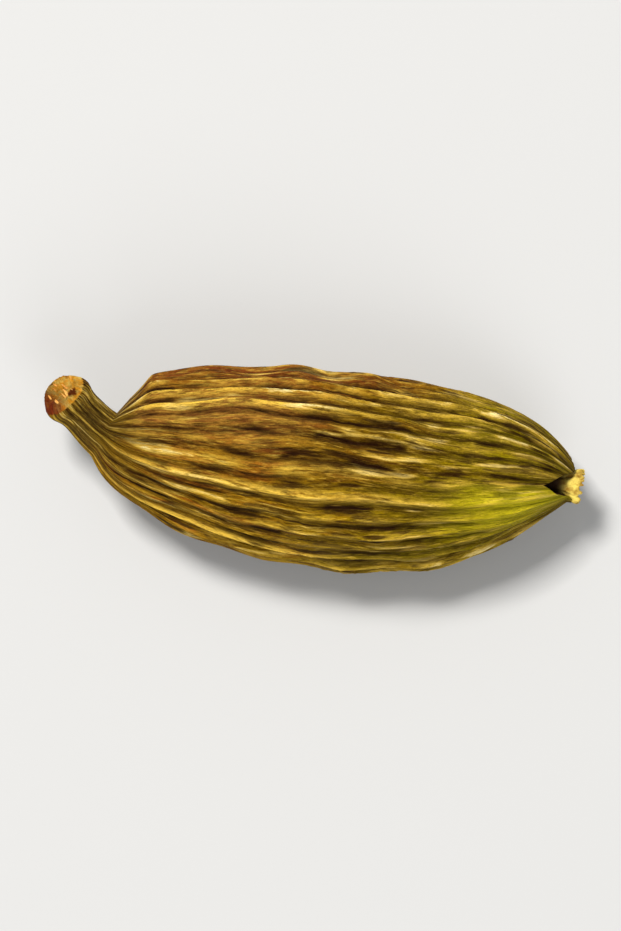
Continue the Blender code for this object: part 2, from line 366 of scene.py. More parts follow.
def seam_depth(rib, at):
    """A V-shaped groove along each edge, deeper by a decaying exponential at the tip."""
    edge = np.rint(rib / RIBS_PER_VALVE).astype(int)
    share = np.array(SPLIT_SHARES)[edge % VALVES]
    split = SPLIT_DEPTH * share * np.exp(-np.maximum(at - SPLIT_FROM, 0.0) / SPLIT_REACH)
    aside = np.abs(rib - edge * RIBS_PER_VALVE) / SEAM_HALF_WIDTH
    return (SEAM_DEPTH + split) * np.maximum(0.0, 1.0 - aside)


# %% [markdown]
# ## The fine relief
#
# A dry skin has more than ribs. A hair-fine vein runs on each crest, thinner ones wander
# between them, the skin has sunk between two seeds, and short pits lie in the furrows.
# A noise texture could displace the mesh, but it would not follow the ribs. A sum of sine
# waves in rib number and station does, and whole turns round the pod leave no join.

# %% Waves over the skin
def waves(rib, at, seed, turns_most, shortest, count=18):
    """Smooth seeded unevenness of about -1 to 1 over the skin.

    The sum of sin(turns * rib angle + pace * station + phase), with whole turns up to
    turns_most and no wave shorter than shortest mm along the pod, over root count.
    """
    draw = np.random.default_rng(seed)
    total = np.zeros(np.broadcast_shapes(np.shape(rib), np.shape(at)))
    for _ in range(count):
        turns = int(draw.integers(1, turns_most + 1))
        pace = draw.uniform(-1.0, 1.0) / shortest
        phase = draw.uniform(0.0, TURN)
        total = total + np.sin(TURN * (turns * rib / RIBS + pace * at) + phase)
    return total / np.sqrt(count)


def bell(value, middle, reach):
    """A bell curve: 1 at the middle, and 0.37 one reach away from it."""
    return np.exp(-(((value - middle) / reach) ** 2))


def uneven(rib, at, mean, swing, most, **wave):
    """Unevenness from 0 to most: a mean plus swing times waves over the skin."""
    return np.clip(mean + swing * waves(rib, at, **wave), 0.0, most)


def at_least(least, share):
    """A share from 0 to 1 made to run from least to 1."""
    return least + (1.0 - least) * share


# %% Veins on the crests and between them
VEIN_HEIGHT = 0.060
VEIN_LEAST = 0.3
VEIN_REACH = 0.11
VEIN_LOW_AT = 9.5
VEIN_LOW_REACH = 4.5
VEIN_LOW_LOSS = 0.55
VEIN_SEED = 21
PROUD_RIBS = (1, 5, 12, 16, 20, 23, 24)
PROUD_HEIGHT = 0.075
PROUD_FADE = (7.0, 11.0)
THIN_VEINS = 3
THIN_VEIN_HEIGHT = 0.052
THIN_VEIN_WANDER = 0.55
THIN_VEIN_WANDER_SEED = 22
THIN_VEIN_BREAK_SEED = 23


def proud_share(rib, at):
    """1 on the few ribs that stand out near the stalk, fading towards the pod's middle."""
    return np.isin(nearest_rib(rib), PROUD_RIBS) * ease(at, *PROUD_FADE)


def crest_veins(rib, at):
    """A bell curve over each crest, stronger near both ends of the pod and uneven along it."""
    own = at_least(VEIN_LEAST, PATTERN["crest"][nearest_rib(rib)])
    ends = 1.0 - VEIN_LOW_LOSS * bell(at, VEIN_LOW_AT, VEIN_LOW_REACH)
    worn = uneven(rib, at, 0.75, swing=0.6, most=1.4, seed=VEIN_SEED, turns_most=14, shortest=2.4)
    height = VEIN_HEIGHT * own * ends * worn + PROUD_HEIGHT * proud_share(rib, at)
    return height * bell(rib - np.rint(rib), 0.0, VEIN_REACH)


def thin_veins(rib, at):
    """Sharp ridges, the square of 1 - |sin|, that wander between the ribs and break off."""
    wander = THIN_VEIN_WANDER * waves(rib, at, THIN_VEIN_WANDER_SEED, turns_most=7, shortest=2.0)
    ridge = (1.0 - np.abs(np.sin(np.pi * (THIN_VEINS * rib + wander)))) ** 2
    seed = THIN_VEIN_BREAK_SEED
    broken = uneven(rib, at, 0.5, swing=1.0, most=1.3, seed=seed, turns_most=12, shortest=1.6)
    return THIN_VEIN_HEIGHT * ridge * broken


# %% Pits and the bruised patch
PIT_DEPTH = 0.080
PIT_STATION = 9.5
PIT_REACH = 5.5
PIT_LEVEL = 0.70
PIT_MORE_IN_MIDDLE = 0.50
PIT_MORE_ON_BRUISE = 0.60
PIT_STEP_BELOW = 0.10
PIT_STEP_ABOVE = 0.60
PIT_FURROW_POWER = 2.2
PIT_BRUISE_POWER = 0.8
PIT_SEED = 26
BRUISE_RIB = 26.0
BRUISE_RIB_REACH = 2.0
BRUISE_STATION = 8.2
BRUISE_STATION_REACH = 3.2


def bruised(rib, at):
    """1 at the middle of the one patch where dark dashes crowd, a bell curve both ways."""
    aside = (rib - BRUISE_RIB + RIBS / 2.0) % RIBS - RIBS / 2.0
    return bell(aside, 0.0, BRUISE_RIB_REACH) * bell(at, BRUISE_STATION, BRUISE_STATION_REACH)


def dark_pits(rib, at):
    """Short dashes from 0 to 1, dented and painted with shade: a step over waves, thickest in the
    pod's middle.

    They keep to the furrows by a power of the valley's shape, less so on the bruise.
    """
    spots = waves(rib, at, PIT_SEED, turns_most=27, shortest=2.2, count=30)
    bruise = bruised(rib, at)
    level = PIT_LEVEL - PIT_MORE_IN_MIDDLE * bell(at, PIT_STATION, PIT_REACH)
    level = level - PIT_MORE_ON_BRUISE * bruise
    power = PIT_FURROW_POWER - (PIT_FURROW_POWER - PIT_BRUISE_POWER) * bruise
    return ease(spots, level - PIT_STEP_BELOW, level + PIT_STEP_ABOVE) * valley_shape(rib) ** power


# %% Smooth places on the skin
TAN_ANGLE = 55.0
TAN_ANGLE_REACH = 34.0
TAN_FADE_IN = (8.5, 12.5)
TAN_FADE_OUT = (16.6, 17.6)
FLANK_ANGLE = 172.0
FLANK_ANGLE_REACH = 38.0
FLANK_FADE_IN = (8.0, 12.5)


def smooth_shoulder(rib, at):
    """1 on the smooth tan shoulder near the stalk, 0 elsewhere."""
    along = ease(at, *TAN_FADE_IN) * (1.0 - ease(at, *TAN_FADE_OUT))
    return bell(degrees_from(rib, at, TAN_ANGLE), 0.0, TAN_ANGLE_REACH) * along


def smooth_flank(rib, at):
    """1 on the -Y flank near the stalk, where broad ridges run with little between them."""
    aside = degrees_from(rib, at, FLANK_ANGLE)
    return bell(aside, 0.0, FLANK_ANGLE_REACH) * ease(at, *FLANK_FADE_IN)


# %% Puckers and dents, and the fine relief together
PUCKER_HEIGHT = 0.030
PUCKER_PITCH = 0.66
PUCKER_BEND = 4.0
PUCKER_CREST_SHARE = 0.3
PUCKER_BEND_SEED = 25
PUCKER_PATCH_SEED = 24
DENT_DEPTH = 0.036
DENT_SEED = 27
LIP_RIM_HEIGHT = 0.07
LIP_RIM_RIB = 0.8
LIP_RIM_REACH = 0.3
LIP_RIM_FADE = (1.6, 5.5)
PATCH_SMOOTHNESS = 0.7
RELIEF_FADE_POWER = 0.7


def puckers_height(rib, at):
    """Cross wrinkles in patches: a bent sine of the station, highest in the furrows."""
    bend = PUCKER_BEND * waves(rib, at, PUCKER_BEND_SEED, turns_most=16, shortest=1.2)
    seed = PUCKER_PATCH_SEED
    patches = uneven(rib, at, 0.1, swing=1.0, most=1.0, seed=seed, turns_most=12, shortest=1.8)
    wrinkles = PUCKER_HEIGHT * np.sin(TURN * at / PUCKER_PITCH + bend)
    return wrinkles * patches * at_least(PUCKER_CREST_SHARE, valley_shape(rib))


def fine_relief(rib, at, thickness):
    """Veins, puckers, pits and dents together, in mm, less deep where the pod is thin."""
    rough = 1.0 - PATCH_SMOOTHNESS * np.maximum(smooth_shoulder(rib, at), smooth_flank(rib, at))
    detail = thin_veins(rib, at) + puckers_height(rib, at) - PIT_DEPTH * dark_pits(rib, at)
    rim = LIP_RIM_HEIGHT * bell(rib, LIP_RIM_RIB, LIP_RIM_REACH) * (1.0 - ease(at, *LIP_RIM_FADE))
    dents = DENT_DEPTH * waves(rib, at, DENT_SEED, turns_most=8, shortest=2.4) * thickness
    return (crest_veins(rib, at) + rough * detail) * thickness**RELIEF_FADE_POWER + rim + dents


# %% [markdown]
# ## The skin as one grid
#
# Near the tip the rings bend back to follow the pointed lips of the valves, and from the
# lips' rim the grid turns inwards and closes in the throat behind them. At the other end
# it goes over the rim of the cut stalk and closes at the middle of the cut.

# %% Rings of the skin
LIP_POINTS_AT = (0.30, 0.34, 0.42)
LIP_NOTCHES_AT = (1.60, 0.55, 0.80)
LIP_REACH = 3.6
LIP_BLUNTNESS = 0.8
LIP_LEAST_RADIUS = 0.64
THROAT_AT = 1.90
THROAT_RADIUS = 0.28
THROAT_OUT_TO = 0.93
THROAT_FLARE = 0.7
CUT_SLANT = 0.70
CUT_SLANT_FROM = 18.6
CUT_DEPTH = 0.15
CUT_TORN = 0.07
CUT_TORN_MOST = 0.04
CUT_TORN_SPREAD = 2.0
CUT_SEED = 31

STEPS_PER_RIB = 14
HUSK_RINGS = 212
HUSK_RINGS_END = 17.7
STALK_RINGS = 22
STALK_RINGS_FROM = 17.78
CUT_RINGS = 12
CUT_SHARES = np.linspace(0.95, 0.04, CUT_RINGS)[:, None]
THROAT_RINGS = 5


def lip_station(rib):
    """Where a valve ends: a power of a sine brings its middle nearer to the tip."""
    valve = np.floor(rib / RIBS_PER_VALVE).astype(int) % VALVES
    notch = np.interp(rib, EDGE_RIBS, LIP_NOTCHES_AT + LIP_NOTCHES_AT[:1])
    share = (rib % RIBS_PER_VALVE) / RIBS_PER_VALVE
    point = np.sin(np.pi * share) ** LIP_BLUNTNESS
    return notch + (np.array(LIP_POINTS_AT)[valve] - notch) * point


def skin_place(rib, at):
    """Station of a grid point, bent back near the tip by the lip, less and less inwards."""
    first = min(LIP_POINTS_AT)
    drawn = 1.0 - ease(at, first, LIP_REACH)
    return at + (lip_station(rib) - first) * drawn


def plain_radius(rib, place):
    """Form, ribs, seeds and seams together: the same surface as the solid."""
    radius = body_radius(rib, place)
    thickness = radius / HUSK_RADIUS
    ribs = ribs_height(rib, place) * pressed_smooth(rib, place)
    seams = seam_depth(rib, place) * np.minimum(1.0, thickness / SEAM_FULL_THICKNESS)
    radius = radius * (1.0 + edge_bulge(place) * np.cos(VALVES * TURN * rib / RIBS))
    radius = radius + ribs * thickness**RIB_FADE_POWER
    radius = radius + seeds_height(rib, place) * thickness**2 - seams
    least = np.where(place < LIP_REACH, LIP_LEAST_RADIUS, 0.0)
    return np.maximum(radius, least)


def skin_stations():
    """Stations of the rings: half even, half a cosine that crowds them at both ends."""
    even = np.linspace(0.0, 1.0, HUSK_RINGS)
    spread = 0.5 * even + 0.25 * (1.0 - np.cos(np.pi * even))
    first = min(LIP_POINTS_AT)
    husk = first + (HUSK_RINGS_END - first) * spread
    stalk = np.linspace(STALK_RINGS_FROM, STALK_END_AT, STALK_RINGS)
    return np.concatenate((husk, stalk))


def cut_back(rib, at, share):
    """How far the slanted cut of the stalk lies behind a straight one.

    It is half the slant times one plus the height, as a share of the cut's radius, and it
    is eased in along the stalk.
    """
    height = share * np.sin(np.radians(rib_angle(rib, at)))
    return CUT_SLANT * 0.5 * (1.0 + height) * ease(at, CUT_SLANT_FROM, STALK_END_AT)


def throat_rings(rim_place, rim_radius):
    """Rings from the closed throat out to just inside the lips' rim, in straight shares."""
    share = np.linspace(0.0, THROAT_OUT_TO, THROAT_RINGS)[:, None]
    place = THROAT_AT + (rim_place - THROAT_AT) * share
    radius = THROAT_RADIUS + (rim_radius - THROAT_RADIUS) * share**THROAT_FLARE
    return place, radius


def cut_rings(rib):
    """Rings from the cut's rim in to its middle, dished by a square and torn by waves."""
    spread = CUT_TORN_SPREAD * CUT_SHARES
    torn = CUT_TORN * waves(rib, spread, CUT_SEED, turns_most=13, shortest=0.5) * CUT_SHARES
    end = np.full_like(rib, STALK_END_AT)
    place = end - CUT_DEPTH * (1.0 - CUT_SHARES**2) - cut_back(rib, end, CUT_SHARES)
    radius = STALK_CUT_RADIUS * CUT_SHARES * np.ones_like(rib)
    return place + np.minimum(torn, CUT_TORN_MOST), radius


RIB = (np.arange(RIBS * STEPS_PER_RIB) / STEPS_PER_RIB)[None, :]
SKIN_PLACE = skin_place(RIB, skin_stations()[:, None])
PLAIN_RADIUS = plain_radius(RIB, SKIN_PLACE)
print("skin grid:", SKIN_PLACE.shape)

# %% [markdown]
# The fine grid has to lie where the solid lies. The solid's box says where that is: the
# plain surface is moved until its stalk end, its sides and its top touch the same box, and
# what would reach under the floor is pressed flat: the spot that the pod rests on.

# %% Set the skin down on the floor
SLANTED_PLACE = SKIN_PLACE - cut_back(RIB, SKIN_PLACE, 1.0)
plain = skin_points(RIB, SLANTED_PLACE, PLAIN_RADIUS).reshape(-1, 3)
own_low = plain.min(axis=0)
own_high = plain.max(axis=0)
low = np.array(cad_low) / MM
high = np.array(cad_high) / MM
SHIFT = (low + high) / 2.0 - (own_low + own_high) / 2.0
SHIFT[0] = low[0] - own_low[0]
SHIFT[2] = high[2] - own_high[2]
print("moved by, mm:", SHIFT.round(3))


def set_down(points):
    """Move points in mm to where the solid lies, press them flat on the floor, give metres."""
    placed = points + SHIFT
    placed[..., 2] = np.maximum(placed[..., 2], 0.0)
    return placed * MM


# %% Put a stack of rings into a mesh
def enclosed_volume(mesh):
    """Volume in a closed mesh in mm3: a sixth of the sum of a . (b x c) over its triangles.

    It is above zero when the faces look outwards.
    """
    mesh.calc_loop_triangles()
    corners = np.empty(len(mesh.loop_triangles) * 3, dtype=np.int32)
    mesh.loop_triangles.foreach_get("vertices", corners)
    points = np.empty(len(mesh.vertices) * 3)
    mesh.vertices.foreach_get("co", points)
    a, b, c = points.reshape(-1, 3)[corners.reshape(-1, 3)].transpose(1, 0, 2)
    return float(np.sum(a * np.cross(b, c))) / 6.0 / MM**3


def ring_stack(name, rings, first, last):
    """A closed piece from rings of points, with a cap of triangles round each end point.

    Quads join point k and k + 1 of a ring to the same points of the next ring.
    """
    count, around = rings.shape[:2]
    k = np.arange(around)
    after = (k + 1) % around
    row = np.arange(count - 1)[:, None] * around
    quads = np.stack((row + k, row + around + k, row + around + after, row + after), axis=-1)
    start = np.stack((k, after, np.full(around, count * around)), axis=-1)
    end_row = (count - 1) * around
    end = np.stack((end_row + after, end_row + k, np.full(around, count * around + 1)), axis=-1)
    corners = np.concatenate((quads.reshape(-1), start.reshape(-1), end.reshape(-1)))
    sizes = np.concatenate((np.full(quads.size // 4, 4), np.full(2 * around, 3)))
    points = np.concatenate((rings.reshape(-1, 3), first[None], last[None]))
    mesh = bpy.data.meshes.new(name)
    mesh.vertices.add(len(points))
    mesh.vertices.foreach_set("co", points.astype(np.float32).ravel())
    mesh.loops.add(len(corners))
    mesh.loops.foreach_set("vertex_index", corners.astype(np.int32))
    mesh.polygons.add(len(sizes))
    mesh.polygons.foreach_set("loop_start", (np.cumsum(sizes) - sizes).astype(np.int32))
    mesh.update(calc_edges=True)
    mesh.validate()
    mesh.shade_smooth()
    piece = bpy.data.objects.new(name, mesh)
    bpy.context.scene.collection.objects.link(piece)
    print(name, int((sizes - 2).sum()), "triangles,", round(enclosed_volume(mesh), 4), "mm3")
    return piece


def store(piece, name, values, ends=0.0):
    """Keep one number a point on a piece, for its material. The two end points get ends."""
    attribute = piece.data.attributes.new(name, "FLOAT", "POINT")
    numbers = np.append(values.ravel(), (ends, ends))
    attribute.data.foreach_set("value", numbers.astype(np.float32))


# %% Build the husk
RELIEF_FADE_IN = (0.2, 1.4)


def build_husk():
    """Throat, skin and cut as one stack of rings, with what its material has to know."""
    thickness = PLAIN_RADIUS / HUSK_RADIUS
    fine = fine_relief(RIB, SKIN_PLACE, thickness) * pressed_smooth(RIB, SKIN_PLACE)
    fine *= ease(SKIN_PLACE, *RELIEF_FADE_IN)
    skin_radius = PLAIN_RADIUS + fine
    throat_place, throat_radius = throat_rings(SKIN_PLACE[0], skin_radius[0])
    cut_place, cut_radius = cut_rings(RIB)
    place = np.concatenate((throat_place, SKIN_PLACE, cut_place))
    where = np.concatenate((throat_place, SLANTED_PLACE, cut_place))
    radius = np.concatenate((throat_radius, skin_radius, cut_radius))
    rib = np.broadcast_to(RIB, place.shape)
    points = set_down(skin_points(rib, where, radius))
    end_at = np.array((THROAT_AT, STALK_END_AT - CUT_DEPTH - CUT_SLANT / 2.0))
    throat_end, cut_end = set_down(on_line(LINE, end_at)[0])
    return ring_stack("cardamom_husk", points, throat_end, cut_end), rib, place


husk, husk_rib, husk_place = build_husk()

# %% [markdown]
# ## What the colours have to know
#
# The finish depends on where a point lies: furrows and pits get painted shade, crests are
# pale, partly a tint and partly a painted highlight, one shoulder is tan and the tip is
# greener. A few numbers a point carry that to the material, and noise textures break them
# up there. Streaks must follow the ribs, so the noise reads its own coordinates: the rib
# number wound on a circle, and the station.

# %% Store the skin's numbers
STREAK_ROUND = RIBS / TURN
STREAK_ALONG = 0.16


def store_streaks(piece, rib, place):
    """Streak coordinates: a circle in rib widths across, and the station shortened along."""
    turn = TURN * rib / RIBS
    across = np.stack((np.cos(turn) * STREAK_ROUND, np.sin(turn) * STREAK_ROUND), axis=-1)
    streaks = np.concatenate((across, (place * STREAK_ALONG)[..., None]), axis=-1)
    ends = np.array(((0.0, 0.0, THROAT_AT), (0.0, 0.0, STALK_END_AT))) * STREAK_ALONG
    vectors = np.concatenate((streaks.reshape(-1, 3), ends))
    attribute = piece.data.attributes.new("streaks", "FLOAT_VECTOR", "POINT")
    attribute.data.foreach_set("vector", vectors.astype(np.float32).ravel())


# %% Where crests are pale with painted highlight, and furrows hold painted shade
CREST_LEAST = 0.25
CREST_LOW_AT = 9.0
CREST_LOW_REACH = 3.5
CREST_LOW_LOSS = 0.3
CREST_PATCH_LOSS = 0.75
CREST_STALK_LOSS = 0.35
CREST_POWER = 1.8
CREST_SEED = 28
FURROW_LEAST_DARK = 0.35
FURROW_DEEPEST = 1.5
FURROW_POWER = 1.4
FURROW_STALK_LOSS = 0.55
FURROW_TIP_LOSS = 0.45
FURROW_TIP_FADE = (1.5, 7.0)
FURROW_TIP_ANGLES = (80.0, 110.0)
FURROW_FLANK_LOSS = 0.7
FURROW_LIP_LOSS = 0.6
STALK_FADE_IN = (17.0, 18.4)
LIP_RIB = 1.7
LIP_RIB_REACH = 1.8
LIP_FADE = (2.0, 6.5)


def lip_colour(rib, at):
    """1 on the leaf-shaped lip beside the open seam, brightest and yellowest of all."""
    return bell(rib, LIP_RIB, LIP_RIB_REACH) * (1.0 - ease(at, *LIP_FADE))


def crest_wear_and_highlight(rib, at):
    """How pale a crest is, partly a worn tint and partly a painted highlight: its own draw, worn
    unevenly along it, and full on the proud ribs.

    It is less in the pod's middle, on the smooth flank, on the bruise and on the stalk.
    """
    own = at_least(CREST_LEAST, PATTERN["crest"][nearest_rib(rib)])
    worn = uneven(rib, at, 0.7, swing=0.8, most=1.3, seed=CREST_SEED, turns_most=14, shortest=1.6)
    share = own * worn * (1.0 - CREST_LOW_LOSS * bell(at, CREST_LOW_AT, CREST_LOW_REACH))
    for patch in (smooth_flank(rib, at), bruised(rib, at)):
        share = share * (1.0 - CREST_PATCH_LOSS * patch)
    share = np.maximum(share, proud_share(rib, at))
    share = share * (1.0 - CREST_STALK_LOSS * ease(at, *STALK_FADE_IN))
    return np.clip(share * (1.0 - valley_shape(rib)) ** CREST_POWER, 0.0, 1.0)


def painted_furrow_shade(rib, at):
    """Painted shade in a furrow: a power of the valley's shape, more in the deeper furrows.

    It is less on the stalk, on the -Y side of the tip, on the smooth flank and on the lip.
    """
    depth = np.clip(furrow_depth(rib, at), 0.0, FURROW_DEEPEST) / FURROW_DEEPEST
    low_side = ease(rib_angle(rib, at) % 360.0, *FURROW_TIP_ANGLES)
    stalk = 1.0 - FURROW_STALK_LOSS * ease(at, *STALK_FADE_IN)
    tip = 1.0 - FURROW_TIP_LOSS * low_side * (1.0 - ease(at, *FURROW_TIP_FADE))
    flank = FURROW_FLANK_LOSS * smooth_flank(rib, at)
    plain = 1.0 - np.maximum(flank, FURROW_LIP_LOSS * lip_colour(rib, at))
    dark = valley_shape(rib) ** FURROW_POWER * at_least(FURROW_LEAST_DARK, depth)
    return dark * stalk * tip * plain


# %% Where the skin is green, or reddish brown with painted edge shade
GREEN_FULL_SHARE = 0.25
GREEN_REACH = 11.5
GREEN_REACH_MORE = 3.5
GREEN_SIDE = (-0.1, 0.7)
BROWN_ANGLE = 2.0
BROWN_ANGLE_REACH = 24.0
BROWN_FADE_IN = (3.0, 7.5)
NECK_AT = 18.7
NECK_REACH = 1.3


def green_colour(rib, at):
    """Greener towards the tip, and further along the pod on its -Y side than on its +Y side."""
    low_side = ease(-np.cos(np.radians(rib_angle(rib, at))), *GREEN_SIDE)
    reach = GREEN_REACH + GREEN_REACH_MORE * low_side
    return 1.0 - ease(at / reach, GREEN_FULL_SHARE, 1.0)


def edge_tint_and_shade(rib, at):
    """Reddish brown tint and painted shade along the +Y side, from the stalk to past the pod's
    middle.
    """
    aside = degrees_from(rib, at, BROWN_ANGLE)
    return bell(aside, 0.0, BROWN_ANGLE_REACH) * ease(at, *BROWN_FADE_IN)


# %% Where painted shade fills the gaping seams, and where the cut and the throat are
SEAM_RIB_REACH = 0.4
SEAM_FADE = (2.0, 7.0)
CUT_FROM = 0.55
CUT_FULL_FROM = 0.10
CUT_RED_SIDE = (-0.1, 0.8)


def painted_seam_shade(rib, at):
    """Painted shade: 1 in the seams near the tip, where they gape."""
    off = rib - RIBS_PER_VALVE * np.rint(rib / RIBS_PER_VALVE)
    return bell(off, 0.0, SEAM_RIB_REACH) * (1.0 - ease(at, *SEAM_FADE))


def cut_colour(at):
    """1 on the cut face, and fading out over the torn rim of the stalk."""
    share = ease(at, STALK_END_AT - CUT_FROM, STALK_END_AT - CUT_FULL_FROM)
    share[-CUT_RINGS:] = 1.0
    return share


def cut_red_colour(rib, at):
    """1 at the cut's rim on the -Y side, fading out towards the cut's middle."""
    share = np.ones_like(at)
    share[-CUT_RINGS:] = CUT_SHARES
    return ease(-share * np.cos(np.radians(rib_angle(rib, at))), *CUT_RED_SIDE)


def inside_colour(at):
    """1 in the throat behind the lips, 0 elsewhere."""
    share = np.zeros_like(at)
    share[:THROAT_RINGS] = 1.0
    return share


# %% Keep the colour zones on the husk
CREST_BROWN_LOSS = 0.85


def store_zones():
    """Every colour zone as a number from 0 to 1 at each point of the husk."""
    rib, place = husk_rib, husk_place
    # The brown edge is a reddish tint with painted shade along the +Y side.
    brown = edge_tint_and_shade(rib, place)
    pits = dark_pits(rib, place)
    # The furrow number is painted shade in the furrows and in the gaping seams.
    store(husk, "furrow", np.maximum(painted_furrow_shade(rib, place), painted_seam_shade(rib, place)))
    # The pits are dents, and their dark colour is painted shade.
    store(husk, "painted_pit_shade", pits)
    # The crest number is a worn pale tint and a painted highlight.
    store(husk, "crest", crest_wear_and_highlight(rib, place) * (1.0 - CREST_BROWN_LOSS * brown))
    store(husk, "tan", smooth_shoulder(rib, place))
    store(husk, "edge", brown)
    store(husk, "bruise", bruised(rib, place))
    store(husk, "green", green_colour(rib, place))
    store(husk, "lip", lip_colour(rib, place))
    store(husk, "neck", bell(place, NECK_AT, NECK_REACH))
    store(husk, "cut", cut_colour(place), 1.0)
    store(husk, "cut_red", cut_red_colour(rib, place))
    store(husk, "inside", inside_colour(place), 1.0)
    store_streaks(husk, rib, place)
    print("share of the skin in dark pits:", round(float(pits.mean()), 3))


store_zones()

# %% [markdown]
# ## The rest of the flower
#
# A small pale nub sits between the lips: the dried tube of the flower, shrunk to a ragged
# cup. It is turned on the same middle line: a short profile of stations and radii, made
# smooth, with its rim cut ragged by waves.

# %% Build the nub
NUB_RADIUS = 0.59
NUB_PROFILE = (
    (1.85, 0.50), (1.30, 0.56), (0.85, 0.70), (0.52, 0.88), (0.26, 1.00), (0.08, 1.06),
    (0.02, 0.98), (0.07, 0.86), (0.22, 0.74), (0.40, 0.52), (0.46, 0.26), (0.47, 0.05),
)
NUB_SIDES = 132
NUB_RINGS = 60
NUB_FOLDS = 11
NUB_FOLD_BEND = 1.3
NUB_FOLD_DEPTH = 0.10
NUB_FOLD_LEVEL = 0.6
NUB_FOLD_SEED = 52
NUB_FLUTE_DEPTH = 0.08
NUB_FLUTE_SEED = 53
NUB_RIM_TORN = 0.10
NUB_RIM_FADE = (0.05, 0.55)
NUB_RIM_SEED = 51
NUB_HOLLOW = (0.60, 0.75)
NUB_NECK = (0.55, 1.0)


def smooth_path(points, steps):
    """Points on a smooth line through the given ones, by Catmull-Rom cubics."""
    points = np.array(points)
    before = 2.0 * points[:1] - points[1:2]
    behind = 2.0 * points[-1:] - points[-2:-1]
    padded = np.concatenate((before, points, behind))
    at = np.linspace(0.0, len(points) - 1.001, steps)
    k = at.astype(int)
    t = (at - k)[:, None]
    a, b, c, d = (padded[k + j] for j in range(4))
    bend = (2.0 * a - 5.0 * b + 4.0 * c - d) * t**2 + (3.0 * b - a - 3.0 * c + d) * t**3
    return 0.5 * (2.0 * b + (c - a) * t + bend)


def build_nub():
    """The profile turned round the middle line, with a ragged rim and a folded wall.

    The folds are |sin| of a whole number of half turns, bent by waves along the nub.
    """
    profile = smooth_path(NUB_PROFILE, NUB_RINGS)
    rib = (np.arange(NUB_SIDES) * RIBS / NUB_SIDES)[None, :]
    at = profile[:, :1]
    width = profile[:, 1:]
    torn = uneven(rib, 0.0, 0.4, swing=1.0, most=1.8, seed=NUB_RIM_SEED, turns_most=24, shortest=1.0)
    place = at + NUB_RIM_TORN * torn * (1.0 - ease(at, *NUB_RIM_FADE))
    bend = NUB_FOLD_BEND * waves(rib, at, NUB_FOLD_SEED, turns_most=3, shortest=1.5)
    folds = np.abs(np.sin(np.pi * NUB_FOLDS * rib / RIBS + bend))
    flutes = NUB_FLUTE_DEPTH * waves(rib, at, NUB_FLUTE_SEED, turns_most=4, shortest=0.9)
    relief = NUB_FOLD_DEPTH * (folds - NUB_FOLD_LEVEL) + flutes
    radius = NUB_RADIUS * width * (1.0 + relief * ease(width, 0.1, 0.8))
    points = set_down(skin_points(np.broadcast_to(rib, place.shape), place, radius))
    first, last = set_down(on_line(LINE, np.array((NUB_PROFILE[0][0], NUB_PROFILE[-1][0])))[0])
    nub = ring_stack("flower_nub", points[::-1], last, first)
    along = np.linspace(1.0, 0.0, NUB_RINGS)[:, None]
    # The shade number is painted shade in the nub's hollow and in its neck behind the rim.
    shade = np.maximum(ease(along, *NUB_HOLLOW), ease(at[::-1], *NUB_NECK))
    store(nub, "shade", shade * np.ones_like(rib), 1.0)
    return nub


nub = build_nub()

# %% [markdown]
# ## Torn fibres on the stalk
#
# The stalk was snapped off, not cut with a knife, so a few fibres stand out of its end.
# Each is a short thin tube that tapers to a point. A dozen seeded draws place them.

# %% Build the fibres
FIBRES = 12
FIBRE_SIDES = 7
FIBRE_RINGS = 8
FIBRE_ROOT = 0.16
FIBRE_OFF = (0.35, 0.93)
FIBRE_LEAN = 0.16
FIBRE_POINT = 1.03
FIBRE_SEED = 61
FIBRE_LENGTHS = (0.03, 0.13)
FIBRE_RADII = (0.025, 0.060)


def build_fibre(number, draw):
    """A tube from under the cut face outwards: its radius falls as the root of what is left."""
    share = np.linspace(0.0, 1.0, FIBRE_RINGS)[:, None]
    turn = np.arange(FIBRE_SIDES)[None, :] * TURN / FIBRE_SIDES
    angle = draw.uniform(0.0, TURN)
    off = draw.uniform(*FIBRE_OFF)
    face_at = STALK_END_AT - CUT_SLANT * 0.5 * (1.0 + off * math.sin(angle))
    point, side, up = (found[0] for found in on_line(LINE, np.array((face_at - FIBRE_ROOT,))))
    out = np.cross(up, side)
    root = point + (side * math.cos(angle) + up * math.sin(angle)) * STALK_CUT_RADIUS * off
    lean = draw.normal(0.0, FIBRE_LEAN, 2)
    way = out + side * lean[0] + up * lean[1]
    length = FIBRE_ROOT + draw.uniform(*FIBRE_LENGTHS)
    radius = draw.uniform(*FIBRE_RADII) * np.sqrt(FIBRE_POINT - share)
    ring = side * np.cos(turn)[..., None] + up * np.sin(turn)[..., None]
    rings = root + way * (share * length)[..., None] + ring * radius[..., None]
    ends = set_down(np.array((root, root + way * length * FIBRE_POINT)))
    return ring_stack(f"stalk_fibre_{number:02d}", set_down(rings), *ends)


fibre_draw = np.random.default_rng(FIBRE_SEED)
fibres = [build_fibre(number + 1, fibre_draw) for number in range(FIBRES)]

# %% [markdown]
# ## Materials
#
# Every finish is a Principled shader whose colour comes from a few noise textures mixed by
# the numbers stored on the mesh. Small helpers keep each recipe to a few lines.

# %% Helpers for node recipes
def new_material(name):
    """A material with its node tree and its Principled shader."""
    material = bpy.data.materials.new(name)
    material.use_nodes = True
    tree = material.node_tree
    return material, tree, tree.nodes["Principled BSDF"]


def feed(tree, socket, value):
    """Link a socket to another socket, or set it to a plain value."""
    if isinstance(value, bpy.types.NodeSocket):
        tree.links.new(value, socket)
    else:
        socket.default_value = value


def stored(tree, name, kind="Fac"):
    """A number or vector that is stored on the mesh."""
    node = tree.nodes.new("ShaderNodeAttribute")
    node.attribute_name = name
    return node.outputs[kind]


def on_object(tree):
    """Coordinates of a point on its own piece, in metres."""
    return tree.nodes.new("ShaderNodeTexCoord").outputs["Object"]


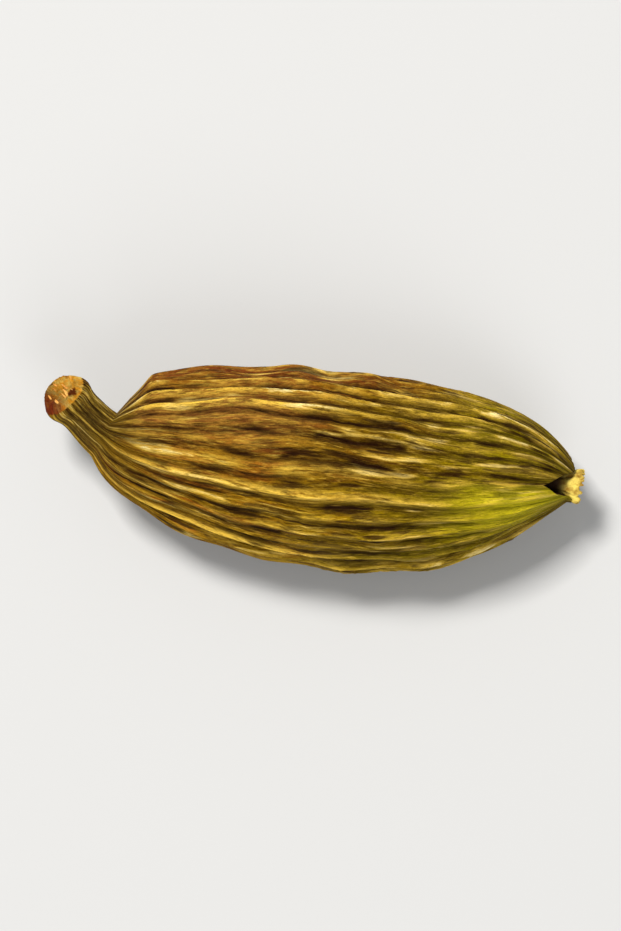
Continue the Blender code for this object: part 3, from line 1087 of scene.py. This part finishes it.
def noise(tree, vector, scale, detail=3.0, roughness=0.55):
    """Noise from 0 to 1 in the given coordinates."""
    node = tree.nodes.new("ShaderNodeTexNoise")
    feed(tree, node.inputs["Vector"], vector)
    node.inputs["Scale"].default_value = scale
    node.inputs["Detail"].default_value = detail
    node.inputs["Roughness"].default_value = roughness
    return node.outputs["Fac"]


def stretch(tree, value, low, high, start=0.0, end=1.0):
    """Map the range low to high onto start to end, and clamp it."""
    node = tree.nodes.new("ShaderNodeMapRange")
    feed(tree, node.inputs["Value"], value)
    for name, number in (("From Min", low), ("From Max", high), ("To Min", start), ("To Max", end)):
        node.inputs[name].default_value = number
    return node.outputs["Result"]


def streaky(tree, streaks, scale, low, high, start=0.0, end=1.0, detail=3.0, roughness=0.6):
    """Noise along the ribs, with its range low to high stretched onto start to end."""
    return stretch(tree, noise(tree, streaks, scale, detail, roughness), low, high, start, end)


def arithmetic(tree, operation, first, second):
    """One step of arithmetic between two numbers."""
    node = tree.nodes.new("ShaderNodeMath")
    node.operation = operation
    feed(tree, node.inputs[0], first)
    feed(tree, node.inputs[1], second)
    return node.outputs[0]


def times(tree, first, second):
    """The product of two numbers."""
    return arithmetic(tree, "MULTIPLY", first, second)


def blend(tree, share, first, second):
    """A colour between two colours."""
    node = tree.nodes.new("ShaderNodeMix")
    node.data_type = "RGBA"
    feed(tree, node.inputs["Factor"], share)
    feed(tree, node.inputs["A"], first)
    feed(tree, node.inputs["B"], second)
    return node.outputs["Result"]


def laid_over(tree, ground, layers):
    """Colours laid over a ground one after another, each by its own share."""
    for share, tint in layers:
        ground = blend(tree, share, ground, tint)
    return ground


def raise_by(tree, height, distance):
    """A bump: the height is a number from 0 to 1, the distance is in metres."""
    node = tree.nodes.new("ShaderNodeBump")
    node.inputs["Distance"].default_value = distance
    feed(tree, node.inputs["Height"], height)
    return node.outputs["Normal"]


def linear(red, green, blue):
    """A screen colour from 0 to 255 as the linear colour that a shader reads."""
    screen = np.array((red, green, blue)) / 255.0
    light = np.where(screen <= 0.04045, screen / 12.92, ((screen + 0.055) / 1.055) ** 2.4)
    return (*(float(part) for part in light), 1.0)


# %% [markdown]
# ### The husk
#
# The ground is a brown olive, lighter and darker in long streaks, with rust in places.
# One shoulder is tan, the side beside it reddish brown with painted shade along that edge,
# the tip greener, and the lip at the open seam yellow. Furrows and pits are dark brown
# painted shade, and one bruised patch is dark brown. Crests are straw-coloured, partly a
# worn tint and partly a painted highlight, and cream painted highlights lie on them and in
# a few flecks. The cut of the stalk is orange, with one red-brown side. A painted picture
# could hold all this, but it would blur close up, so each colour is laid over the last by a
# share. Fine fibres are a bump, and the crests are a little smoother, so they catch the light.

# %% Husk colours
OLIVE = linear(182, 134, 12)
OLIVE_DARK = linear(92, 56, 2)
TAN = linear(184, 130, 50)
TAN_PINK = linear(146, 86, 38)
RUSSET = linear(158, 76, 16)
# Reddish brown tint and painted shade for the +Y edge.
EDGE_BROWN_AND_SHADE = linear(122, 52, 14)
GREEN = linear(166, 147, 0)
GREEN_DARK = linear(112, 94, 0)
LIP_YELLOW = linear(244, 228, 34)
LIP_DARK = linear(176, 154, 10)
NECK_GREY = linear(80, 64, 28)
# Straw for pale flecks and hairs, and for the crests' partly painted highlight.
STRAW_AND_HIGHLIGHT = linear(252, 206, 78)
# Painted highlight on the crests and in a few flecks.
CREAM_HIGHLIGHT = linear(255, 236, 164)
# Dark brown for streaks of the skin and for painted shade in the furrows and seams.
FURROW_SHADE_AND_STREAK_BROWN = linear(44, 20, 2)
# Painted shade in the pits.
PIT_SHADE_BROWN = linear(36, 14, 2)
CUT_ORANGE = linear(255, 174, 46)
CUT_STRAW = linear(255, 216, 108)
CUT_BROWN = linear(128, 62, 18)
CUT_RED = linear(134, 54, 22)
INSIDE_BROWN = linear(62, 36, 12)


# %% Husk ground and marks
def husk_ground(tree, streaks, fibres):
    """Olive with rust, then green, tan and the other zones, all in long streaks."""
    light = streaky(tree, streaks, scale=1.5, low=0.36, high=0.64, detail=5.0, roughness=0.62)
    rusty = streaky(tree, streaks, scale=2.3, low=0.50, high=0.64, end=0.7)
    patchy = streaky(tree, streaks, scale=0.5, low=0.35, high=0.6, start=0.6, roughness=0.55)
    tan = blend(tree, stretch(tree, fibres, low=0.38, high=0.60), TAN_PINK, TAN)
    zones = (
        (rusty, RUSSET),
        (times(tree, stored(tree, "green"), patchy), blend(tree, light, GREEN_DARK, GREEN)),
        (times(tree, stored(tree, "tan"), patchy), tan),
        # Reddish brown tint with painted shade along the +Y edge.
        (times(tree, stored(tree, "edge"), patchy), EDGE_BROWN_AND_SHADE),
        (times(tree, stored(tree, "bruise"), 0.5), OLIVE_DARK),
        (stored(tree, "lip"), blend(tree, light, LIP_DARK, LIP_YELLOW)),
        (times(tree, stored(tree, "neck"), 0.8), NECK_GREY),
    )
    return laid_over(tree, blend(tree, light, OLIVE_DARK, OLIVE), zones)


def husk_marks(tree, ground, streaks, fibres):
    """Pale flecks with a few painted glints, hairs, dark dashes and fibres, painted shade in furrows
    and pits, then crests with painted highlight.
    """
    flecks = noise(tree, streaks, scale=2.7, detail=2.0, roughness=0.5)
    hairs = streaky(tree, streaks, scale=13.0, low=0.52, high=0.68, end=0.4)
    dashes = streaky(tree, streaks, scale=3.6, low=0.55, high=0.64, detail=2.0, roughness=0.5)
    fewer_on_tan = stretch(tree, stored(tree, "tan"), low=0.0, high=1.0, start=0.85, end=0.3)
    dark_fibres = streaky(tree, streaks, scale=11.0, low=0.50, high=0.62, end=0.6)
    furrow_shade_breakup = stretch(tree, fibres, low=0.62, high=0.44, start=0.4)
    frayed = streaky(tree, streaks, scale=5.0, low=0.36, high=0.52, start=0.4)
    crest = times(tree, stored(tree, "crest"), stretch(tree, fibres, low=0.40, high=0.53, start=0.15))
    highlight_streaks = streaky(tree, streaks, scale=1.3, low=0.46, high=0.60, detail=2.0, roughness=0.55)
    marks = (
        (stretch(tree, flecks, low=0.57, high=0.67, end=0.75), STRAW_AND_HIGHLIGHT),
        # Cream flecks: painted glints of light.
        (stretch(tree, flecks, low=0.62, high=0.72, end=0.4), CREAM_HIGHLIGHT),
        (hairs, STRAW_AND_HIGHLIGHT),
        (times(tree, dashes, fewer_on_tan), FURROW_SHADE_AND_STREAK_BROWN),
        (dark_fibres, FURROW_SHADE_AND_STREAK_BROWN),
        # Painted shade in the furrows and gaping seams, broken up by fibre noise.
        (times(tree, stored(tree, "furrow"), furrow_shade_breakup), FURROW_SHADE_AND_STREAK_BROWN),
        # Painted shade in the pits, frayed by noise along the ribs.
        (times(tree, stored(tree, "painted_pit_shade"), frayed), PIT_SHADE_BROWN),
        # Pale crests: partly a worn straw tint, partly painted highlight. The cream below is painted
        # highlight.
        (crest, STRAW_AND_HIGHLIGHT),
        (times(tree, stretch(tree, crest, low=0.45, high=0.85), highlight_streaks), CREAM_HIGHLIGHT),
        (times(tree, stored(tree, "lip"), 0.45), LIP_YELLOW),
    )
    return laid_over(tree, ground, marks)


# %% Husk material
HUSK_SHEEN = 0.05
HUSK_BUMP = 0.18 * MM
CREST_POLISH = 0.16


def cut_face(tree, grain, torn):
    """Orange and straw grain with brown tears, and red-brown at one side of the rim."""
    fresh = blend(tree, stretch(tree, grain, low=0.4, high=0.62), CUT_ORANGE, CUT_STRAW)
    layers = (
        (stretch(tree, torn, low=0.52, high=0.62), CUT_BROWN),
        (times(tree, stored(tree, "cut_red"), 0.9), CUT_RED),
    )
    return laid_over(tree, fresh, layers)


def husk_material():
    """Ground and marks, then the orange cut of the stalk and the dark inside of the lips."""
    material, tree, shader = new_material("dry_husk")
    streaks = stored(tree, "streaks", "Vector")
    fibres = noise(tree, streaks, scale=6.0, detail=4.0, roughness=0.65)
    grain = noise(tree, on_object(tree), scale=4200.0, detail=2.0)
    torn = noise(tree, on_object(tree), scale=1500.0)
    skin = husk_marks(tree, husk_ground(tree, streaks, fibres), streaks, fibres)
    ragged = arithmetic(tree, "ADD", stored(tree, "cut"), times(tree, torn, 0.7))
    ends = (
        (stretch(tree, ragged, low=0.7, high=0.9), cut_face(tree, grain, torn)),
        (stored(tree, "inside"), INSIDE_BROWN),
    )
    feed(tree, shader.inputs["Base Color"], laid_over(tree, skin, ends))
    dull = stretch(tree, fibres, low=0.3, high=0.7, start=0.62, end=0.48)
    polish = times(tree, stored(tree, "crest"), CREST_POLISH)
    feed(tree, shader.inputs["Roughness"], arithmetic(tree, "SUBTRACT", dull, polish))
    shader.inputs["Specular IOR Level"].default_value = HUSK_SHEEN
    hairs = times(tree, noise(tree, streaks, scale=14.0), 1.1)
    height = arithmetic(tree, "ADD", fibres, hairs)
    height = arithmetic(tree, "ADD", height, times(tree, grain, 0.35))
    feed(tree, shader.inputs["Normal"], raise_by(tree, height, HUSK_BUMP))
    return material


husk.data.materials.append(husk_material())


# %% Nub and fibre materials
NUB_BROWN = linear(150, 112, 26)
NUB_STRAW = linear(228, 202, 92)
NUB_SHADE = linear(58, 34, 12)
NUB_BUMP = 0.08 * MM
FIBRE_ORANGE = linear(206, 128, 44)
FIBRE_STRAW = linear(240, 184, 96)
DRY_SHEEN = 0.25


def nub_material():
    """Pale dry flower tube: straw over brown by noise, with painted shade in its hollow and its neck.
    """
    material, tree, shader = new_material("dry_flower_nub")
    grain = noise(tree, on_object(tree), scale=3200.0, detail=4.0)
    colour = blend(tree, stretch(tree, grain, low=0.38, high=0.62), NUB_BROWN, NUB_STRAW)
    colour = blend(tree, stored(tree, "shade"), colour, NUB_SHADE)
    feed(tree, shader.inputs["Base Color"], colour)
    shader.inputs["Roughness"].default_value = 0.7
    shader.inputs["Specular IOR Level"].default_value = DRY_SHEEN
    feed(tree, shader.inputs["Normal"], raise_by(tree, grain, NUB_BUMP))
    return material


def fibre_material():
    """Torn plant fibre: straw to orange by noise, and rough."""
    material, tree, shader = new_material("torn_fibre")
    grain = noise(tree, on_object(tree), scale=2600.0)
    colour = blend(tree, stretch(tree, grain, low=0.38, high=0.62), FIBRE_ORANGE, FIBRE_STRAW)
    feed(tree, shader.inputs["Base Color"], colour)
    shader.inputs["Roughness"].default_value = 0.65
    shader.inputs["Specular IOR Level"].default_value = DRY_SHEEN
    return material


nub.data.materials.append(nub_material())
straw = fibre_material()
for fibre in fibres:
    fibre.data.materials.append(straw)

# %% [markdown]
# ## Ride and replace
#
# Every piece rides on the imported model's one body. The husk and the nub stand for the
# solid pod, which is then hidden.

# %% Hand the pieces over
for piece in [husk, nub, *fibres]:
    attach(piece, "root")
for piece in (husk, nub):
    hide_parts("pod")

# %% [markdown]
# ## Floor, light and camera
#
# The floor is a plain pale sheet. A soft lamp at the upper left of the picture makes the
# ribs readable, and a weak one at the lower right keeps the shadows open. The camera
# looks almost straight down, turned so that the tip points a little downwards to the
# right, and its lens is long, as in a product photograph.

# %% Floor
FLOOR_SIZE = 0.9
FLOOR_COLOUR = (0.53, 0.53, 0.525, 1.0)


def build_floor():
    """One square just under the pod."""
    half = FLOOR_SIZE / 2.0
    mesh = bpy.data.meshes.new("floor")
    corners = [(-half, -half, 0.0), (half, -half, 0.0), (half, half, 0.0), (-half, half, 0.0)]
    mesh.from_pydata(corners, [], [(0, 1, 2, 3)])
    floor = bpy.data.objects.new("floor", mesh)
    bpy.context.scene.collection.objects.link(floor)
    material, _, shader = new_material("pale_floor")
    shader.inputs["Base Color"].default_value = FLOOR_COLOUR
    shader.inputs["Roughness"].default_value = 0.85
    mesh.materials.append(material)
    return floor


build_floor()


# %% Light
SKY_COLOUR = (1.0, 1.0, 1.0, 1.0)
SKY_LIGHT = 0.36


def add_lamp(name, place, size, power, colour):
    """A square lamp that faces the pod and isn't seen itself."""
    lamp = bpy.data.lights.new(name, "AREA")
    lamp.size = size
    lamp.energy = power
    lamp.color = colour
    holder = bpy.data.objects.new(name, lamp)
    holder.location = place
    holder.rotation_euler = (-Vector(place)).to_track_quat("-Z", "Y").to_euler()
    holder.visible_camera = False
    bpy.context.scene.collection.objects.link(holder)


add_lamp("key_lamp", (-0.15, 0.15, 0.42), size=0.11, power=2.55, colour=(1.0, 0.98, 0.95))
add_lamp("fill_lamp", (0.16, -0.30, 0.30), size=0.26, power=0.75, colour=(0.96, 0.98, 1.0))

world = bpy.data.worlds.new("studio")
world.use_nodes = True
sky = world.node_tree.nodes["Background"]
sky.inputs["Color"].default_value = SKY_COLOUR
sky.inputs["Strength"].default_value = SKY_LIGHT
bpy.context.scene.world = world
bpy.context.scene.view_settings.view_transform = "Standard"

# %% Camera
PHOTO_WIDTH = 621
PHOTO_HEIGHT = 931
SENSOR = 36.0
CAMERA_AZIMUTH = 7.0
CAMERA_ELEVATION = 86.0
CAMERA_DISTANCE = 0.24
POD_SHARE_OF_WIDTH = 0.88


def add_camera():
    """A camera on the photograph's side of the pod, with the lens that frames it.

    The picture is as wide as the pod's length divided by its share of the width, and the
    lens is sensor times distance over the picture's longer side.
    """
    middle = (cad_low + cad_high) / 2.0
    length = cad_high.x - cad_low.x
    tall = length / POD_SHARE_OF_WIDTH * PHOTO_HEIGHT / PHOTO_WIDTH
    azimuth = math.radians(CAMERA_AZIMUTH)
    elevation = math.radians(CAMERA_ELEVATION)
    back = Vector((
        math.sin(azimuth) * math.cos(elevation),
        -math.cos(azimuth) * math.cos(elevation),
        math.sin(elevation),
    ))
    lens = bpy.data.cameras.new("camera")
    lens.sensor_width = SENSOR
    lens.lens = SENSOR * CAMERA_DISTANCE / tall
    lens.clip_start = 0.01
    lens.clip_end = 10.0
    camera = bpy.data.objects.new("camera", lens)
    camera.location = middle + back * CAMERA_DISTANCE
    camera.rotation_euler = (-back).to_track_quat("-Z", "Y").to_euler()
    bpy.context.scene.collection.objects.link(camera)
    bpy.context.scene.camera = camera
    print("lens, mm:", round(lens.lens, 1))


add_camera()
